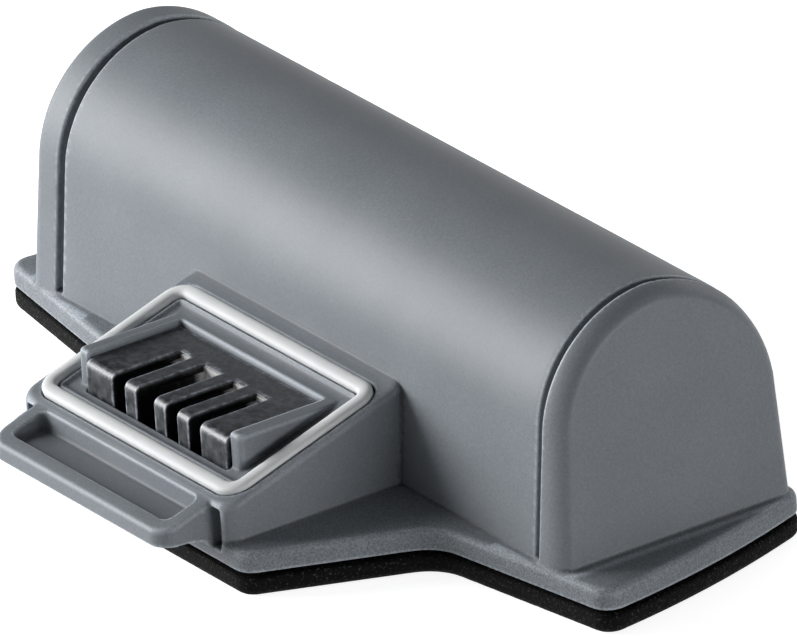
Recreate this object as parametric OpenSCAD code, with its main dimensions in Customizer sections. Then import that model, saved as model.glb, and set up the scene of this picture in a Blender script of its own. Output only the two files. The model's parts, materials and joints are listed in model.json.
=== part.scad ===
// Removable battery of a hand-held window vacuum: one round cell in a grey D-shaped
// housing, a flanged deck with a black outer cover, and a sealed plug face at the front.
// X runs along the cell, -Y points to the plug, Z is up. The origin lies on the underside
// of the cover, below the middle of the cell.

/* [Body] */
// Length of the D-shaped body over its end faces
body_l = 78; // [74:0.5:90]
// Distance of the front wall's foot from the cell's axis
body_front = 12.5; // [11.9:0.1:13.5]
// Distance of the rear wall's foot from the cell's axis
body_rear = 11.7; // [11.7:0.1:13]
// Radius of the arch over the cell
arch_r = 11.4; // [11.2:0.1:12]
// Height of the arch's centre above the deck
arch_rise = 10.5; // [10:0.1:12]
// Lean of the end faces from upright, in degrees
end_lean = 3.5; // [0:0.5:3.5]
// Length of the rounding round each end face
end_round_l = 2.5; // [0.8:0.1:2.5]
// How far the rounding draws the end face in
end_round_inset = 1.6; // [0.8:0.1:1.7]
// Width of the raised band at each end
band_w = 4; // [4:0.1:8]
// Height of the raised band over the middle of the body
band_step = 0.4; // [0.2:0.05:0.6]
// Thickness of the end walls
end_wall = 2.2; // [2.2:0.1:2.6]
// Thickness of the body's long walls
side_wall = 1.2; // [1:0.1:1.3]

/* [Deck] */
// Thickness of the grey deck
deck_t = 2; // [1.8:0.1:3]
// Rounded chamfer round the deck's top edge
deck_chamfer = 0.7; // [0.3:0.05:0.9]
// Half length of the deck at its front corners
deck_front_x = 44.3; // [43:0.1:48]
// Half length of the deck at its rear corners
deck_rear_x = 38.9; // [38.6:0.1:41]
// How far each end of the deck bows out
deck_bow = 1.4; // [0.4:0.1:2]
// Distance of the deck's front edge from the cell's axis, at the ends
deck_front_y = 11.7; // [11:0.1:13]
// Deck that shows behind the body
deck_rear_margin = 0.4; // [0.2:0.1:2]
// Half width of the front lobe where it leaves the front edge
lobe_root_x = 24.2; // [22:0.1:27]
// Distance of the lobe's root from the cell's axis
lobe_root_y = 14.8; // [14:0.1:16]
// Half width of the lobe along its front edge
lobe_front_x = 17.5; // [17:0.1:20]
// Corner radius of the deck at its outer corners
deck_corner_r = 1.9; // [1.2:0.1:3]
// Radius of the inner bend between lobe and front edge
lobe_bend_r = 4; // [2:0.5:6]

/* [Cover] */
// Thickness of the black outer cover
cover_t = 2.2; // [2:0.1:3.5]
// How far the cover stays inside the deck's edge
cover_inset = 0.3; // [0:0.05:0.6]
// Height of the groove between deck and cover
shadow_h = 0.5; // [0.3:0.1:0.8]
// Depth of the groove between deck and cover
shadow_d = 0.6; // [0.3:0.1:1]
// Rounding of the cover's lower edge
cover_round = 0.4; // [0.2:0.1:0.8]
// Height of the cover's locating rim inside the housing
rim_h = 1.1; // [0.8:0.1:1.4]
// Thickness of the locating rim and of the cell saddles
rim_t = 1.2; // [0.8:0.1:1.6]
// Number of saddle ribs under the cell
saddle_n = 5; // [3:1:7]
// Half width of a saddle rib
saddle_y = 6; // [5:0.1:6.4]

/* [Plug block] */
// Block that shows beside the seal, at each side
block_margin = 0.75; // [0.65:0.05:1.2]
// Block that shows in front of the seal
block_lip = 1; // [0.8:0.1:1.4]
// Height of the sloping face above the deck, at the front wall
block_front_h = 3.3; // [3.2:0.1:4.5]
// Slope of the face that carries the seal
face_slope = 17.3; // [15:0.1:19]
// Radius of the block's upright front corners
block_corner_r = 1.8; // [1:0.1:2.2]
// Rounding of the block's upper edges
block_edge_r = 0.6; // [0.3:0.1:0.7]
// Wall thickness of the block
block_wall = 1.5; // [1.2:0.1:1.8]

/* [Seal] */
// Gap between the collar's sides and the seal
seal_gap = 1.25; // [1:0.05:1.6]
// Distance of the seal's front edge ahead of the plug's front faces
seal_ahead = 2.8; // [2.4:0.1:3.2]
// Gap between the seal's rear edge and the foot of the body's front wall
seal_rear_gap = 0.4; // [0.2:0.05:0.7]
// Width of the seal's section
seal_band = 1.5; // [1.2:0.1:1.7]
// Corner radius of the seal, outside
seal_corner_r = 2.2; // [1.9:0.1:3]
// Depth of the seal's groove
seal_groove = 0.7; // [0.5:0.1:0.9]
// Height of the seal over the sloping face
seal_proud = 0.5; // [0.3:0.05:0.8]
// Depth of the dished field inside the seal
field_dish = 0.3; // [0.1:0.05:0.4]

/* [Collar and plug] */
// Width of the collar round the plug, outside
collar_w = 24; // [23.6:0.1:25]
// Thickness of the collar's walls
collar_wall = 1.5; // [1.2:0.1:1.7]
// Height of the collar's level top above the deck
collar_h = 7.5; // [7.2:0.1:8]
// How far the collar's open front lies behind the plug's front faces
collar_setback = 0.3; // [0.1:0.1:0.8]
// Length of the plug from its front faces to its rear face
plug_l = 9.8; // [9.4:0.1:10.4]
// Distance of the plug's rear face ahead of the foot of the body's front wall
plug_ahead = 3.8; // [3.5:0.1:4.4]
// Height of the plug's top above the deck
plug_h = 6.95; // [6.6:0.05:7.2]
// How far the plug's hidden flange stands out
flange_w = 1; // [0.6:0.1:1.2]
// Thickness of the plug's flange
flange_t = 1; // [0.6:0.1:1.2]
// Rounding of the plug's upper front edge
plug_round = 0.7; // [0.3:0.1:1]
// Widths of the four contact slots, from -X to +X
slot_w = [1.7, 2.6, 1.65, 1.65]; // [1.6:0.05:2.6]
// Widths of the three inner fins between the slots
fin_w = [1.75, 1.75, 1.75]; // [1.4:0.05:1.9]
// Width of the outer fin at the -X side
first_fin_w = 4; // [3.4:0.1:4.2]
// Length of the contact slots
slot_l = 6.9; // [6.5:0.1:7.1]
// Height of the slots' floor above the deck
slot_floor = 2.5; // [2.2:0.1:3]

/* [Tab] */
// Width of the front tab
tab_w = 26; // [24:0.1:27]
// How far the tab stands out from the block's front wall
tab_l = 4.9; // [4.2:0.1:6]
// Thickness of the tab's lip, front to rear
tab_lip = 1.5; // [1:0.1:2]
// Thickness of the tab's side arms
tab_arm = 1.5; // [1:0.1:2]
// Drop of the tab's rim below the sloping face
tab_drop = 0.15; // [0:0.05:0.4]
// Height of the tab's pocket floor above the deck
tab_floor = 1.35; // [1.2:0.05:1.6]
// Height of the tab's underside at the lip above the deck
tab_under = 0.05; // [-0.2:0.05:0.3]
// Corner radius of the tab's front corners
tab_corner_r = 2; // [1:0.1:3]
// Rounding of the tab's upper edges
tab_edge_r = 0.35; // [0.1:0.05:0.5]
// Width of the relief slot at each side of the tab
relief_w = 1.2; // [0.8:0.1:1.4]
// Depth of the relief slot into the front wall
relief_d = 1; // [0.6:0.1:1.2]

/* [Contacts] */
// Thickness of the contact metal
contact_t = 0.25; // [0.2:0.01:0.3]
// Length of the contact cheeks along the slot
cheek_l = 4.6; // [4:0.1:5]
// Height of the cheeks' upper edge above the deck
cheek_top = 6.3; // [6:0.05:6.5]
// Height of the cheeks' lower edge above the deck
cheek_low = 2.9; // [2.8:0.1:3.4]
// Distance from the slot's wall to the sprung cheek
spring_room = 0.35; // [0.33:0.01:0.4]
// How far each cheek bows towards the blade
bow = 0.12; // [0.08:0.01:0.15]
// Width of a contact's tail
tail_w = 0.8; // [0.6:0.1:1]

/* [Cell] */
// Diameter of the steel can
cell_d = 18.2; // [18:0.05:18.3]
// Length of the can
cell_l = 64.8; // [64:0.1:65.2]
// Thickness of the shrink sleeve
sleeve_t = 0.15; // [0.1:0.01:0.2]
// Diameter of the positive cap
cap_d = 8; // [6:0.1:9]
// Height of the positive cap
cap_h = 0.5; // [0.4:0.05:0.8]
// Width of the nickel strips at the cell's ends
strip_w = 6; // [4:0.1:7]
// Thickness of the nickel strips
strip_t = 0.2; // [0.15:0.01:0.25]

/* [Board] */
// Thickness of the circuit board
board_t = 1; // [0.8:0.1:1.2]
// Gap between the board's edges and the block's side walls
board_gap = 0.5; // [0.2:0.05:0.8]
// Height of the board's top above the deck
board_top = 0.2; // [0:0.1:0.3]
// Diameter of the insulated wires
wire_d = 1.3; // [1:0.1:1.5]
// Diameter of the screw bosses
boss_d = 3.2; // [3:0.1:3.4]
// Diameter of the board screws' thread
screw_d = 1.6; // [1.4:0.1:1.8]
// Diameter of the board screws' heads
screw_head_d = 2.8; // [2.4:0.1:3]
// How far the screws bite into their bosses
screw_bite = 3.4; // [2.4:0.1:3.6]
// Length, width and height of the protection chip's body
guard_chip = [3, 1.7, 0.8]; // [0.6:0.1:4]
// Length, width and height of each power switch's body
switch_chip = [3.2, 3, 0.8]; // [0.6:0.1:4]
// Length, width and height of the small chip components
small_chip = [1.2, 0.7, 0.5]; // [0.4:0.1:1.4]
// Thickness, reach and height of a chip's legs
chip_leg = [0.3, 0.7, 0.6]; // [0.2:0.1:0.8]
// Distance of the wires' solder lands inside the screw bosses
land_offset = 2.6; // [2.5:0.1:3.2]

/* [Fits] */
// Gap between parts that drop into one another
fit = 0.1; // [0.05:0.01:0.15]
// Gap round the cell in its chamber
cell_gap = 0.35; // [0.25:0.05:0.5]
// Gap between the sprung cheek and its hinge line
hinge_gap = 0.1; // [0.08:0.01:0.15]

/* [Hidden] */

deck_z = cover_t + deck_t;
arch_z = deck_z + arch_rise;

// Distances from the cell's axis towards the front, each from the piece behind it
seal_rear = body_front + seal_rear_gap;
plug_rear = body_front + plug_ahead;
plug_front = plug_rear + plug_l;
slot_rear = plug_front - slot_l;
collar_front = plug_front - collar_setback;
seal_front = plug_front + seal_ahead;
block_front = seal_front + block_lip;
tab_front = block_front + tab_l;

// Widths, each from the piece inside it
seal_w = collar_w + 2*(seal_gap + seal_band);
block_w = seal_w + 2*block_margin;
board_w = block_w - 2*(block_wall + board_gap);

slope = tan(face_slope);
sleeve_d = cell_d + 2*sleeve_t;
chamber_r = sleeve_d/2 + cell_gap;
arc_steps = 8;
through = 1;
round_fn = 48;

// The sloping face

function face_z(y) = deck_z + block_front_h + slope*(y + block_front);
face_mid_y = -(seal_front + seal_rear)/2;

// Rounded outlines: a corner is [x, y, radius]

function flat(p) = [p.x, p.y];
function unit(v) = v/norm(v);
function turn(a, b, c) = cross(flat(b) - flat(a), flat(c) - flat(b));

function corner_arc(a, b, c) =
    let (u = unit(flat(a) - flat(b)),
         v = unit(flat(c) - flat(b)),
         half = acos(u*v)/2,
         centre = flat(b) + unit(u + v)*b.z/sin(half),
         from = flat(b) + u*b.z/tan(half) - centre,
         to = flat(b) + v*b.z/tan(half) - centre,
         start = atan2(from.y, from.x),
         sweep = (atan2(to.y, to.x) - start + 540) % 360 - 180)
    [for (i = [0:arc_steps]) let (t = start + sweep*i/arc_steps)
        centre + b.z*[cos(t), sin(t)]];

function rounded(corners) =
    let (n = len(corners))
    [for (i = [0:n - 1])
        each corner_arc(corners[(i + n - 1) % n], corners[i], corners[(i + 1) % n])];

function inset_corner(a, b, c, d) =
    let (u = unit(flat(a) - flat(b)),
         v = unit(flat(c) - flat(b)),
         half = acos(u*v)/2,
         side = turn(a, b, c) > 0 ? 1 : -1,
         p = flat(b) + side*unit(u + v)*d/sin(half))
    [p.x, p.y, b.z - side*d];

function inset(corners, d) =
    let (n = len(corners))
    [for (i = [0:n - 1])
        inset_corner(corners[(i + n - 1) % n], corners[i], corners[(i + 1) % n], d)];

function block_corners(x, y0, y1, r) =
    [[x, y0, r], [x, y1, r], [-x, y1, r], [-x, y0, r]];

// Lofts: every ring is its own mirror image, so its points pair up from both ends

function cap(n) =
    [for (j = [0:floor((n - 3)/2)])
        let (a = j, b = j + 1, c = n - 2 - j, d = n - 1 - j)
        each b == c ? [[a, b, d]] : [[a, b, c], [a, c, d]]];

function flipped(faces, first) = [for (f = faces) [f[2] + first, f[1] + first, f[0] + first]];

module skin(rings, closed = false) {
    n = len(rings[0]);
    m = len(rings);
    last = closed ? m - 1 : m - 2;
    sides = [for (i = [0:last], j = [0:n - 1])
        let (k = (j + 1) % n, up = (i + 1) % m)
        each [[i*n + j, up*n + j, up*n + k], [i*n + j, up*n + k, i*n + k]]];
    caps = closed ? [] : concat(cap(n), flipped(cap(n), (m - 1)*n));
    polyhedron([for (r = rings) each r], concat(sides, caps), convexity = 6);
}

// A prism over a rounded outline, with a profile of [inset, height] steps
module shaped_prism(corners, profile, closed = false) {
    skin([for (s = profile) [for (p = rounded(inset(corners, s[0]))) [p.x, p.y, s[1]]]],
         closed);
}

// A prism whose top follows the sloping face, with a profile of [inset, height] steps
module sloping_prism(corners, low, profile) {
    foot = rounded(inset(corners, profile[0][0]));
    skin(concat([[for (p = foot) [p.x, p.y, low]]],
                [for (s = profile) [for (p = rounded(inset(corners, s[0])))
                    [p.x, p.y, face_z(p.y) + s[1]]]]));
}

function edge_round(r, drop = 0) =
    [for (i = [0:4]) let (t = 90*i/4) [r*(1 - cos(t)), -drop - r*(1 - sin(t))]];

// A side profile in Y and Z, extruded along X between two places
module side_profile(x0, x1, points) {
    translate([x0, 0, 0])
        rotate([90, 0, 90])
            linear_extrude(x1 - x0)
                polygon(points);
}

module box(low, high) {
    translate(low)
        cube(high - low);
}

// Body

function tangent_angle(w, r) = atan2(-arch_rise, w) + acos(r/norm([w, arch_rise]));

// Section from the rear wall's foot over the arch to the front wall's foot
function arch_section(shrink) =
    let (r = arch_r - shrink,
         rear = body_rear - shrink,
         front = body_front - shrink,
         from = tangent_angle(rear, r),
         to = 180 - tangent_angle(front, r),
         n = 6*arc_steps)
    concat([[rear, cover_t], [rear, deck_z]],
           [for (i = [0:n]) let (t = from + (to - from)*i/n)
               [r*cos(t), arch_z + r*sin(t)]],
           [[-front, deck_z], [-front, cover_t]]);

// Each step is [place along X, shrink, lean]
function end_steps(side) =
    [for (i = [0:arc_steps]) let (t = 90*i/arc_steps)
        [side*(body_l/2 - end_round_l*(1 - sin(t))), end_round_inset*(1 - cos(t)),
         side*tan(end_lean)]];

function reversed(list) = [for (i = [len(list) - 1:-1:0]) list[i]];

module body_outer() {
    band_x = body_l/2 - band_w;
    band_draft = 0.1;
    steps = concat(reversed(end_steps(-1)),
                   [[-band_x, 0, 0], [-band_x + band_draft, band_step, 0],
                    [band_x - band_draft, band_step, 0], [band_x, 0, 0]],
                   end_steps(1));
    skin([for (s = steps) [for (p = arch_section(s[1]))
        [s[0] - s[2]*max(0, p[1] - deck_z), p[0], p[1]]]]);
}

// Upright part of the chamber: it narrows upwards and ends inside the round part
chamber_low_y = body_rear - band_step - side_wall;
chamber_high_y = chamber_r - 0.3;
chamber_x = body_l/2 - end_wall;

module body_chamber() {
    translate([-chamber_x, 0, arch_z])
        rotate([0, 90, 0])
            cylinder(r = chamber_r, h = 2*chamber_x, $fn = round_fn);
    side_profile(-chamber_x, chamber_x,
                 [[-chamber_low_y, cover_t - through], [chamber_low_y, cover_t - through],
                  [chamber_low_y, deck_z], [chamber_high_y, arch_z],
                  [-chamber_high_y, arch_z], [-chamber_low_y, deck_z]]);
}

// Deck

deck_rear_y = body_rear + deck_rear_margin;
end_mid_x = (deck_front_x + deck_rear_x)/2;
end_mid_y = (deck_rear_y - deck_front_y)/2;
end_bend_r = 90;
deck_half = [[lobe_front_x, -block_front, deck_corner_r],
             [lobe_root_x, -lobe_root_y, lobe_bend_r],
             [deck_front_x, -deck_front_y, deck_corner_r],
             [end_mid_x + deck_bow, end_mid_y, end_bend_r],
             [deck_rear_x, deck_rear_y, deck_corner_r]];
deck_corners = concat(deck_half, [for (c = reversed(deck_half)) [-c.x, c.y, c.z]]);

module deck_plate() {
    steps = 3;
    shaped_prism(deck_corners,
                 concat([[0, cover_t]],
                        [for (i = [0:steps]) let (t = 90*i/steps)
                            [deck_chamfer*(1 - cos(t)), deck_z - deck_chamfer*(1 - sin(t))]]));
}

// Block with the sloping face

block_root_y = -(chamber_low_y + side_wall/2);

module block_outer() {
    sloping_prism(block_corners(block_w/2, -block_front, block_root_y, block_corner_r),
                  cover_t, edge_round(block_edge_r));
}

module block_chamber() {
    x = block_w/2 - block_wall;
    front = -(block_front - block_wall - relief_d/2);
    side_profile(-x, x,
                 [[front, cover_t - through], [-chamber_high_y, cover_t - through],
                  [-chamber_high_y, face_z(-chamber_high_y) - block_wall],
                  [front, face_z(front) - block_wall]]);
}

// Moves its children onto the sloping face, with the seal's middle at their origin
module on_face() {
    translate([0, face_mid_y, face_z(face_mid_y)])
        rotate([face_slope, 0, 0])
            children();
}

seal_half_v = (seal_front - seal_rear)/2/cos(face_slope);
seal_corners = block_corners(seal_w/2, -seal_half_v, seal_half_v, seal_corner_r);

module seal_groove_cut() {
    on_face()
        shaped_prism(seal_corners,
                     [[-fit/2, -seal_groove], [-fit/2, through],
                      [seal_band + fit/2, through], [seal_band + fit/2, -seal_groove]],
                     closed = true);
}

module field_cut() {
    edge = seal_band + fit + 0.2;
    on_face()
        shaped_prism(seal_corners,
                     [[edge + field_dish, -field_dish], [edge, 0], [edge, through]]);
}

// Collar

plug_x = collar_w/2 - collar_wall - fit;
collar_corner_r = 0.6;

module collar_outer() {
    difference() {
        shaped_prism(block_corners(collar_w/2, -collar_front, block_root_y, collar_corner_r),
                     [[0, deck_z], [0, deck_z + collar_h - collar_corner_r/3],
                      [collar_corner_r/3, deck_z + collar_h]]);
        box([-collar_w, -collar_front - through, deck_z + collar_h],
            [collar_w, 0, arch_z]);
    }
}

// The well that the plug drops into, open at the front above the sloping face
module plug_well() {
    box([-plug_x - fit, -plug_front - fit, cover_t - through],
        [plug_x + fit, -plug_rear + fit, arch_z]);
}

// Tab

module tab_outer() {
    z0 = deck_z + tab_under;
    root = 2.4;
    high = face_z(-block_front) + through;
    intersection() {
        sloping_prism(block_corners(tab_w/2, -tab_front, -block_front + tab_corner_r,
                                    tab_corner_r),
                      cover_t, edge_round(tab_edge_r, tab_drop));
        side_profile(-tab_w, tab_w,
                     [[-tab_front - through, z0], [-block_front - root, z0],
                      [-block_front - root/3, z0 - 0.35], [-block_front, z0 - 1.1],
                      [-block_front + block_wall/2, z0 - 1.1],
                      [-block_front + block_wall/2, high], [-tab_front - through, high]]);
    }
}

module tab_pocket() {
    x = tab_w/2 - tab_arm;
    floor_z = deck_z + tab_floor;
    shaped_prism(block_corners(x, -tab_front + tab_lip, -block_front, 0.8),
                 [[0.3, floor_z], [0.08, floor_z + 0.1], [0, floor_z + 0.3], [0, arch_z]]);
}

module tab_relief() {
    for (side = [-1, 1])
        translate([side*(tab_w + relief_w)/2, 0, 0])
            box([-relief_w/2, -block_front - through, deck_z - 0.9],
                [relief_w/2, -block_front + relief_d,
                 face_z(-block_front) - tab_drop - 0.35]);
}

// Screw bosses under the block's roof

boss_x = board_w/2 - boss_d/2 - 0.1;
boss_y = -(plug_rear - 1.7);
board_z = deck_z + board_top;

module screw_bosses() {
    difference() {
        for (side = [-1, 1])
            translate([side*boss_x, boss_y, board_z + fit])
                cylinder(d = boss_d, h = face_z(boss_y) - block_wall/2 - board_z - fit,
                         $fn = round_fn);
        for (side = [-1, 1])
            translate([side*boss_x, boss_y, board_z - through])
                cylinder(d = screw_d + fit, h = through + screw_bite + 0.6, $fn = round_fn);
        on_face()
            box([-block_w, -block_front, -block_wall/3], [block_w, block_front, arch_z]);
    }
}

module housing() {
    color("slategray") {
        difference() {
            union() {
                difference() {
                    union() {
                        body_outer();
                        deck_plate();
                        block_outer();
                        tab_outer();
                    }
                    seal_groove_cut();
                    field_cut();
                }
                collar_outer();
            }
            body_chamber();
            block_chamber();
            plug_well();
            tab_pocket();
            tab_relief();
        }
        screw_bosses();
    }
}

// Cover

module cover_skin() {
    shaped_prism(deck_corners,
                 [[cover_inset + cover_round, 0],
                  [cover_inset + cover_round*0.3, cover_round*0.3],
                  [cover_inset, cover_round],
                  [cover_inset, cover_t - shadow_h],
                  [cover_inset + shadow_d, cover_t - shadow_h],
                  [cover_inset + shadow_d, cover_t]]);
}

// The rim that drops into the housing's opening round the cell
module cover_rim() {
    x = chamber_x - fit;
    y = chamber_low_y - fit;
    difference() {
        box([-x, -y, 0], [x, y, cover_t + rim_h]);
        box([-x + rim_t, -y + rim_t, cover_t - through],
            [x - rim_t, y - rim_t, arch_z]);
        box([-board_w/2, -y - through, cover_t], [board_w/2, -y + 2*rim_t, arch_z]);
    }
}

saddle_pitch = (cell_l - 10)/(saddle_n - 1);

module saddle_ribs() {
    difference() {
        for (i = [0:saddle_n - 1])
            translate([(i - (saddle_n - 1)/2)*saddle_pitch, 0, 0])
                box([-rim_t/2, -saddle_y, cover_t - shadow_h],
                    [rim_t/2, saddle_y, arch_z - chamber_r*0.8]);
        translate([-body_l, 0, arch_z])
            rotate([0, 90, 0])
                cylinder(r = sleeve_d/2 + fit/2, h = 2*body_l, $fn = round_fn);
    }
}

module board_posts() {
    post_inset = 2;
    for (side = [-1, 1])
        box([side*(board_w/2 - post_inset) - rim_t/2, -plug_front + 0.2, cover_t - shadow_h],
            [side*(board_w/2 - post_inset) + rim_t/2, -plug_front + 4.2, board_z - board_t]);
}

module bottom_cover() {
    color("#1b1c1e") {
        cover_skin();
        cover_rim();
        saddle_ribs();
        board_posts();
    }
}

// Seal: a rounded bead on a flat foot

module seal() {
    half = seal_band/2;
    color("gainsboro")
        on_face()
            shaped_prism(seal_corners,
                         concat([[0, -seal_groove + fit]],
                                [for (i = [0:6]) let (t = 180*i/6)
                                    [half*(1 - cos(t)), seal_proud*sin(t)]],
                                [[seal_band, -seal_groove + fit]]),
                         closed = true);
}

// Plug insert with its slots

function slot_left(i) =
    -plug_x + first_fin_w + (i == 0 ? 0 : slot_left(i - 1) + plug_x - first_fin_w
                                          + slot_w[i - 1] + fin_w[i - 1]);
function slot_mid(i) = slot_left(i) + slot_w[i]/2;

module rounded_plug_body() {
    top = deck_z + plug_h;
    steps = 5;
    side_profile(-plug_x, plug_x,
                 concat([[-plug_rear, board_z + fit], [-plug_rear, top]],
                        [for (i = [0:steps]) let (t = 90*i/steps)
                            [-plug_front + plug_round*(1 - sin(t)),
                             top - plug_round*(1 - cos(t))]],
                        [[-plug_front, board_z + fit]]));
}

// The flange that the block's roof holds down, at both sides and in front
module plug_flange() {
    front = -plug_front - flange_w;
    rear = -plug_rear - 0.3;
    function roof(y) = face_z(y) - block_wall - fit;
    side_profile(-plug_x - flange_w, plug_x + flange_w,
                 [[front, roof(front) - flange_t], [rear, roof(rear) - flange_t],
                  [rear, roof(rear)], [front, roof(front)]]);
}

module plug_insert() {
    color("#232427") {
        difference() {
            rounded_plug_body();
            for (i = [0:3]) {
                box([slot_left(i), -plug_front - through, deck_z + slot_floor],
                    [slot_left(i) + slot_w[i], -slot_rear, arch_z]);
                box([slot_left(i), -slot_rear - fit, deck_z + slot_floor],
                    [slot_left(i) + slot_w[i], -slot_rear + contact_t + fit,
                     deck_z + plug_h - 0.1]);
                box([slot_mid(i) - tail_w/2 - fit, -slot_rear - fit, board_z - through],
                    [slot_mid(i) + tail_w/2 + fit, -slot_rear + contact_t + fit,
                     deck_z + slot_floor + fit]);
            }
        }
        difference() {
            plug_flange();
            box([-plug_x + flange_w/2, -plug_front + flange_w/2, deck_z],
                [plug_x - flange_w/2, 0, arch_z]);
        }
    }
}

// Contacts: a rear plate, a fixed cheek and a tail through the board

// A cheek seen from above, with its back on the X axis and its bow towards +Y
module cheek_outline(length) {
    at = length*0.7;
    polygon([[0, 0], [length, 0], [length, contact_t], [at + 0.6, contact_t],
             [at + 0.2, contact_t + bow], [at - 0.2, contact_t + bow],
             [at - 0.6, contact_t], [0, contact_t]]);
}

module contact(i) {
    left = slot_left(i) + fit/2;
    color("gainsboro") {
        box([left, -slot_rear, deck_z + cheek_low],
            [slot_left(i) + slot_w[i] - fit/2, -slot_rear + contact_t,
             deck_z + plug_h - 0.2]);
        translate([left, -slot_rear, deck_z + cheek_low])
            rotate([0, 0, -90])
                linear_extrude(cheek_top - cheek_low)
                    cheek_outline(cheek_l);
        box([slot_mid(i) - tail_w/2, -slot_rear, board_z - board_t - 0.4],
            [slot_mid(i) + tail_w/2, -slot_rear + contact_t, deck_z + cheek_low]);
    }
}

// A sprung cheek turns about the middle of its rounded root
module spring_cheek(i) {
    right = slot_left(i) + slot_w[i] - spring_room;
    root_r = contact_t/2;
    color("silver")
        translate([right, -slot_rear - hinge_gap, deck_z + cheek_low])
            mirror([1, 0, 0])
                rotate([0, 0, -90]) {
                    translate([root_r, root_r, 0])
                        cylinder(r = root_r, h = cheek_top - cheek_low, $fn = 24);
                    translate([root_r, 0, 0])
                        linear_extrude(cheek_top - cheek_low)
                            cheek_outline(cheek_l - hinge_gap - root_r);
                }
}

// Cell

module along_x(x, r, h, z = arch_z) {
    translate([x, 0, z])
        rotate([0, 90, 0])
            cylinder(r = r, h = h, $fn = round_fn);
}

// The cap's brim lies in a seat in the can's end
cap_seat = 0.3;
cap_brim = 1.2;

module cell_can() {
    groove_x = cell_l/2 - 4;
    groove_r = 0.7;
    color("silver")
        difference() {
            along_x(-cell_l/2, cell_d/2, cell_l);
            translate([groove_x, 0, arch_z])
                rotate([0, 90, 0])
                    rotate_extrude($fn = round_fn)
                        translate([cell_d/2, 0])
                            circle(r = groove_r, $fn = 24);
            along_x(cell_l/2 - cap_seat, cap_d/2 + cap_brim + fit/2, through);
        }
}

module cell_sleeve() {
    lip = 2;
    color("seagreen")
        difference() {
            along_x(-cell_l/2 - sleeve_t, sleeve_d/2, cell_l + 2*sleeve_t);
            along_x(-cell_l/2, cell_d/2, cell_l);
            along_x(-body_l, cell_d/2 - lip, 2*body_l);
        }
}

module cell_cap() {
    color("gainsboro") {
        along_x(cell_l/2 - cap_seat, cap_d/2, cap_seat + cap_h);
        along_x(cell_l/2 - cap_seat, cap_d/2 + cap_brim, cap_seat - 0.1);
    }
}

module cell_insulating_ring() {
    color("white")
        difference() {
            along_x(cell_l/2 + sleeve_t, sleeve_d/2 - 0.6, 0.3);
            along_x(cell_l/2, cap_d/2 + 0.4, 1);
        }
}

// Nickel strips run down the end faces and end in a solder lug by the wires

strip_low_z = cover_t + 2.4;
wire_y = -(chamber_low_y - 1.4);
wire_z = cover_t + rim_h + 0.4;

// The strip seen from the end of the cell, with a lug that bends to the wire
module strip(x0, x1) {
    color("gainsboro") {
        box([x0, -strip_w/2, strip_low_z], [x1, strip_w/2, arch_z + strip_w/2]);
        box([x0, wire_y - 0.9, strip_low_z], [x1, -strip_w/2, strip_low_z + 2.2]);
    }
}

positive_x = cell_l/2 + cap_h;
negative_x = -cell_l/2 - sleeve_t;

module positive_strip() {
    strip(positive_x, positive_x + strip_t);
}

module negative_strip() {
    strip(negative_x - strip_t, negative_x);
}

// A round wire along a list of points, with a bend of the given size at each corner

function bend(a, b, c, size) =
    let (from = b + size*unit(a - b), to = b + size*unit(c - b))
    [for (t = [0:0.25:1]) (1 - t)*(1 - t)*from + 2*t*(1 - t)*b + t*t*to];

function bent(points, size) =
    let (last = len(points) - 1)
    concat([points[0]],
           [for (i = [1:last - 1]) each bend(points[i - 1], points[i], points[i + 1], size)],
           [points[last]]);

// The upward direction sets where each ring starts and lies across every run
module wire(points, d, size, up, sides = 10) {
    path = bent(points, size);
    last = len(path) - 1;
    skin([for (i = [0:last])
        let (along = unit(path[min(i + 1, last)] - path[max(i - 1, 0)]),
             u = unit(cross(along, up)),
             v = cross(u, along))
        [for (j = [0:sides - 1]) let (t = 360*(j + 0.5)/sides)
            path[i] + d/2*(u*cos(t) + v*sin(t))]]);
}

wire_land_x = boss_x - land_offset;
wire_land_y = boss_y + 1.7;

function wire_route(side, end_x) =
    [[end_x, wire_y, strip_low_z + 1.2],
     [side*(wire_land_x + 3), wire_y, strip_low_z + 1.2],
     [side*wire_land_x, wire_land_y, board_z + 1.6],
     [side*wire_land_x, wire_land_y, board_z]];

module positive_wire() {
    color("firebrick")
        wire(wire_route(1, positive_x), wire_d, wire_d, [0, 1, 0]);
}

module negative_wire() {
    color("#202020")
        wire(wire_route(-1, negative_x), wire_d, wire_d, [0, 1, 0]);
}

// Board and what is on it

board_front = -(block_front - block_wall - relief_d/2 - 0.3);
board_rear = wire_land_y + 1.5;

module circuit_board() {
    color("darkgreen")
        difference() {
            box([-board_w/2, board_front, board_z - board_t],
                [board_w/2, board_rear, board_z]);
            for (i = [0:3])
                translate([slot_mid(i), -slot_rear + contact_t/2, 0])
                    cylinder(d = norm([tail_w, contact_t]) + 2*fit, h = arch_z,
                             $fn = round_fn);
            for (side = [-1, 1])
                translate([side*boss_x, boss_y, 0])
                    cylinder(d = screw_d + 2*fit, h = arch_z, $fn = round_fn);
        }
}

chip_row_y = board_front + 4.5;
chip_margin = 6.5;
switch_margin = 7.5;
switch_pitch = 5;
small_row_y = board_front + 1.2;
small_margin = 3.5;

// A chip body under the board, with short legs along two sides that reach the board
module chip(x, size, legs) {
    leg_y = size.y/2 + chip_leg.y/2 - 0.05;
    translate([x, chip_row_y, board_z - board_t]) {
        translate([-size.x/2, -size.y/2, -size.z - 0.1])
            cube(size);
        for (side = [-1, 1], i = [0:legs - 1])
            translate([(i - (legs - 1)/2)*size.x/legs - chip_leg.x/2,
                       side*leg_y - chip_leg.y/2, -chip_leg.z])
                cube(chip_leg);
    }
}

module protection_chip() {
    color("#2a2a2c")
        chip(-board_w/2 + chip_margin, guard_chip, 3);
}

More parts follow.
